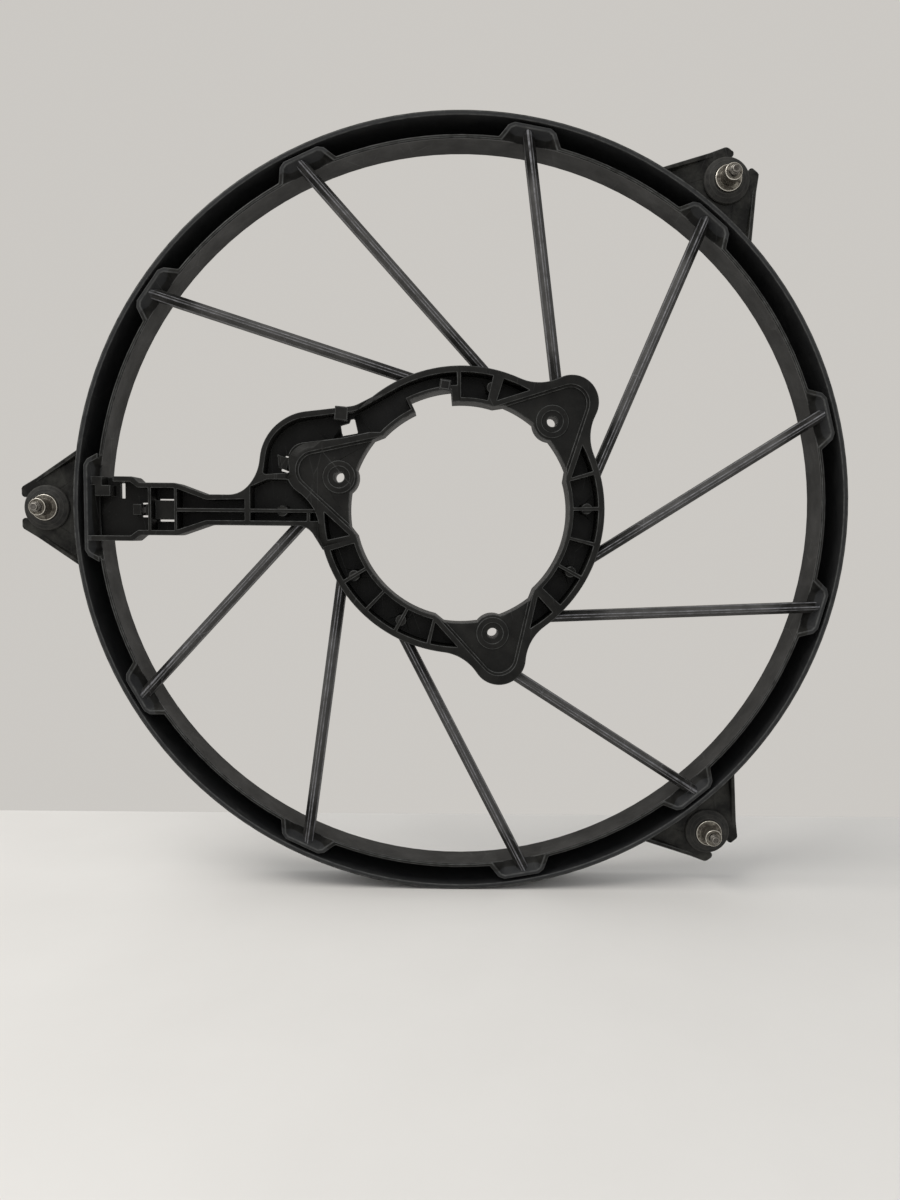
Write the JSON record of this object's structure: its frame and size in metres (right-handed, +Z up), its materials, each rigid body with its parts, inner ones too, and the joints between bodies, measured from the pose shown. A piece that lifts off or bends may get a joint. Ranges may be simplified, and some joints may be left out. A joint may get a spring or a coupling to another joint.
{
  "type": "radiator fan shroud",
  "caption": "Black moulded radiator fan shroud: a deep ring, tangential spokes, a three-lobed motor ring, a cable arm and ears with rubber-mounted screws.",
  "frame": {"origin": "on the fan axis, in the plane of the ring's front lip", "axes": "+Y along the fan axis towards the back of the ring, +Z up as the shroud stands, +X to the right seen from the front"},
  "size_m": [0.4955, 0.0389, 0.46],
  "materials": {
    "shroud_plastic": "satin",
    "bush_rubber": "matte",
    "sleeve_steel": "satin",
    "screw_steel": "satin"
  },
  "bodies": {
    "shroud": {"shroud_ring": "shroud_plastic", "motor_ring": "shroud_plastic", "cable_lobe": "shroud_plastic", "cable_arm": "shroud_plastic", "spoke_01": "shroud_plastic", "spoke_02": "shroud_plastic", "spoke_03": "shroud_plastic", "spoke_04": "shroud_plastic", "spoke_05": "shroud_plastic", "spoke_06": "shroud_plastic", "spoke_07": "shroud_plastic", "spoke_08": "shroud_plastic", "spoke_09": "shroud_plastic", "spoke_10": "shroud_plastic", "ear_left": "shroud_plastic", "ear_upper": "shroud_plastic", "ear_lower": "shroud_plastic", "rubber_bushes": "bush_rubber", "steel_sleeves": "sleeve_steel"},
    "screw_left": {"captive_screw_left": "screw_steel"},
    "screw_upper": {"captive_screw_upper": "screw_steel"},
    "screw_lower": {"captive_screw_lower": "screw_steel"}
  },
  "joints": [
    {"name": "screw_spin_left", "type": "hinge", "parent": "shroud", "child": "screw_left", "pos_m": [-0.2495, 0, 0], "axis": [0, -1, 0], "continuous": true},
    {"name": "screw_spin_upper", "type": "hinge", "parent": "shroud", "child": "screw_upper", "pos_m": [0.15463, 0, 0.1958], "axis": [0, -1, 0], "continuous": true},
    {"name": "screw_spin_lower", "type": "hinge", "parent": "shroud", "child": "screw_lower", "pos_m": [0.15463, 0, -0.1958], "axis": [0, -1, 0], "continuous": true}
  ]
}
